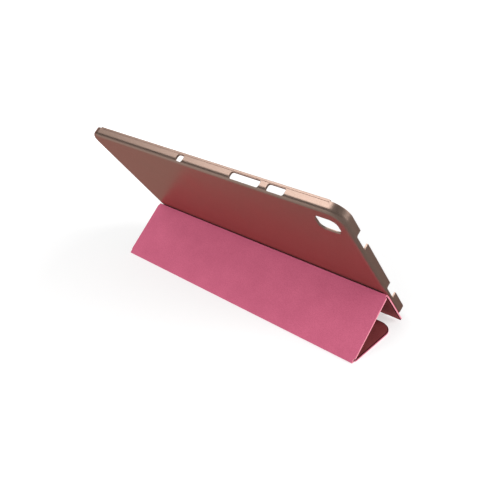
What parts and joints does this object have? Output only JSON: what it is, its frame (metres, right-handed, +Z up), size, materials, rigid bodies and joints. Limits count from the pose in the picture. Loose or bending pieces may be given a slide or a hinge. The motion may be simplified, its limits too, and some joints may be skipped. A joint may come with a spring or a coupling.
{
  "type": "tablet case",
  "caption": "Hard clip-on back shell for a tablet with a hinged three-panel cover, shown folded behind the shell as a landscape stand.",
  "frame": {"origin": "on the surface the case stands on, in the middle of the footprint of the whole case standing on its folded cover", "axes": "+Z up, +X along the long side and the fold lines, with the camera window at the +X end; the back of the shell faces -Y and down, the screen side faces +Y and up"},
  "size_m": [0.253, 0.1086, 0.1318],
  "materials": {
    "shell_plastic": "satin rose-gold coated hard plastic",
    "cover_skin": "smooth matt imitation leather, pink",
    "cover_lining": "fine brushed microfibre, dark red",
    "board": "pressed grey board",
    "magnet": "nickel plated",
    "tape": "double-sided bonding tape"
  },
  "bodies": {
    "shell": {"back_shell": "shell_plastic", "bond_tape": "tape", "root_strip": "cover_skin"},
    "spine": {"spine_skin": "cover_skin", "spine_lining": "cover_lining", "lower_fold_skin": "cover_skin", "lower_fold_lining": "cover_lining"},
    "panel1": {"panel1_skin": "cover_skin", "panel1_board": "board", "panel1_lining": "cover_lining", "apex_fold_skin": "cover_skin", "apex_fold_lining": "cover_lining"},
    "panel2": {"panel2_skin": "cover_skin", "panel2_board": "board", "panel2_lining": "cover_lining", "foot_fold_skin": "cover_skin", "foot_fold_lining": "cover_lining"},
    "panel3": {"panel3_skin": "cover_skin", "panel3_board": "board", "panel3_lining": "cover_lining", "wake_magnets": "magnet", "closing_magnets": "magnet"}
  },
  "joints": [
    {"name": "cover_swing", "type": "hinge", "parent": "shell", "child": "spine", "pos_m": [0, 0.05178, 0.0043], "axis": [1, 0, 0], "range_deg": [0, 180]},
    {"name": "panel1_turn", "type": "hinge", "parent": "spine", "child": "panel1", "pos_m": [0, 0.04762, 0.00085], "axis": [1, 0, 0], "range_deg": [0, 180]},
    {"name": "panel2_fold", "type": "hinge", "parent": "panel1", "child": "panel2", "pos_m": [0, 0.01653, 0.0383], "axis": [1, 0, 0], "range_deg": [-93.39, 0]},
    {"name": "panel3_fold", "type": "hinge", "parent": "panel2", "child": "panel3", "pos_m": [0, -0.0235, 0.00085], "axis": [1, 0, 0], "range_deg": [-136.93, 0]}
  ],
  "couplings": [
    {"joint": "cover_swing", "follows": "panel2_fold", "ratio": -1.9274},
    {"joint": "panel1_turn", "follows": "panel2_fold", "ratio": -1.9274},
    {"joint": "panel3_fold", "follows": "panel2_fold", "ratio": 1.466}
  ]
}
